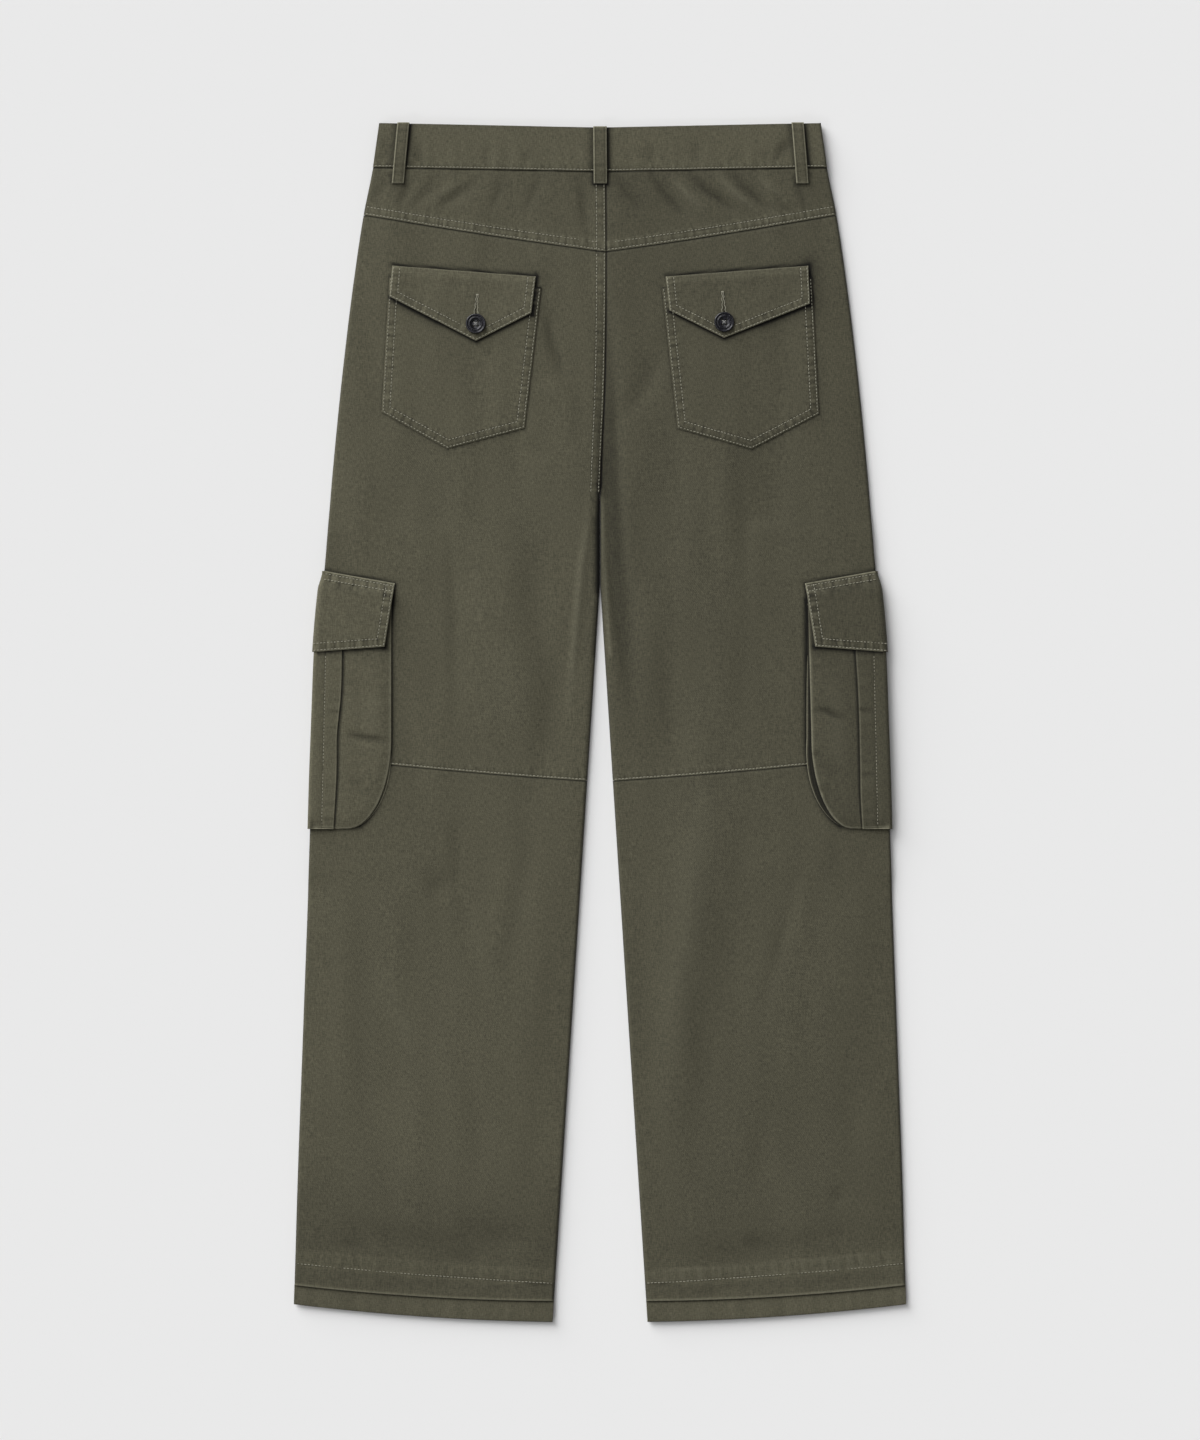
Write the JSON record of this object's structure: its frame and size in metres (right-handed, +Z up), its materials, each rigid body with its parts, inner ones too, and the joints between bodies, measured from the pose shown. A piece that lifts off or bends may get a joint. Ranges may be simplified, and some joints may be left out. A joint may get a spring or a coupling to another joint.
{
  "type": "cargo pants",
  "caption": "Cargo pants laid flat with the back uppermost: straight legs, flapped back pockets and flapped cargo pockets that wrap the thigh.",
  "frame": {"origin": "the middle of the garment as laid, on the surface that it lies on", "axes": "+Y to the waist, +X to the viewer's right seen from above, +Z up, away from the surface"},
  "size_m": [0.5382, 1.0547, 0.012],
  "materials": {
    "twill": "olive khaki cotton twill, washed, matt",
    "twill_inside": "the same twill seen from its inside, matt",
    "button": "glossy bluish black"
  },
  "bodies": {
    "root": {"yoke_left": "twill", "yoke_right": "twill", "back_left": "twill", "back_right": "twill", "lower_back_left": "twill", "lower_back_right": "twill", "waistband_back": "twill", "waistband_front_left": "twill", "waistband_front_right": "twill", "belt_loop_back_left": "twill", "belt_loop_back_centre": "twill", "belt_loop_back_right": "twill", "belt_loop_front_left": "twill", "belt_loop_front_right": "twill", "fly_placket": "twill", "back_pocket_left": "twill", "back_flap_left": "twill", "cargo_gusset_left": "twill", "cargo_pouch_left": "twill", "cargo_flap_left": "twill", "back_pocket_right": "twill", "back_flap_right": "twill", "cargo_gusset_right": "twill", "cargo_pouch_right": "twill", "cargo_flap_right": "twill", "front_left": "twill_inside", "front_right": "twill_inside", "waist_button": "button", "back_button_left": "button", "back_button_right": "button"}
  },
  "joints": []
}
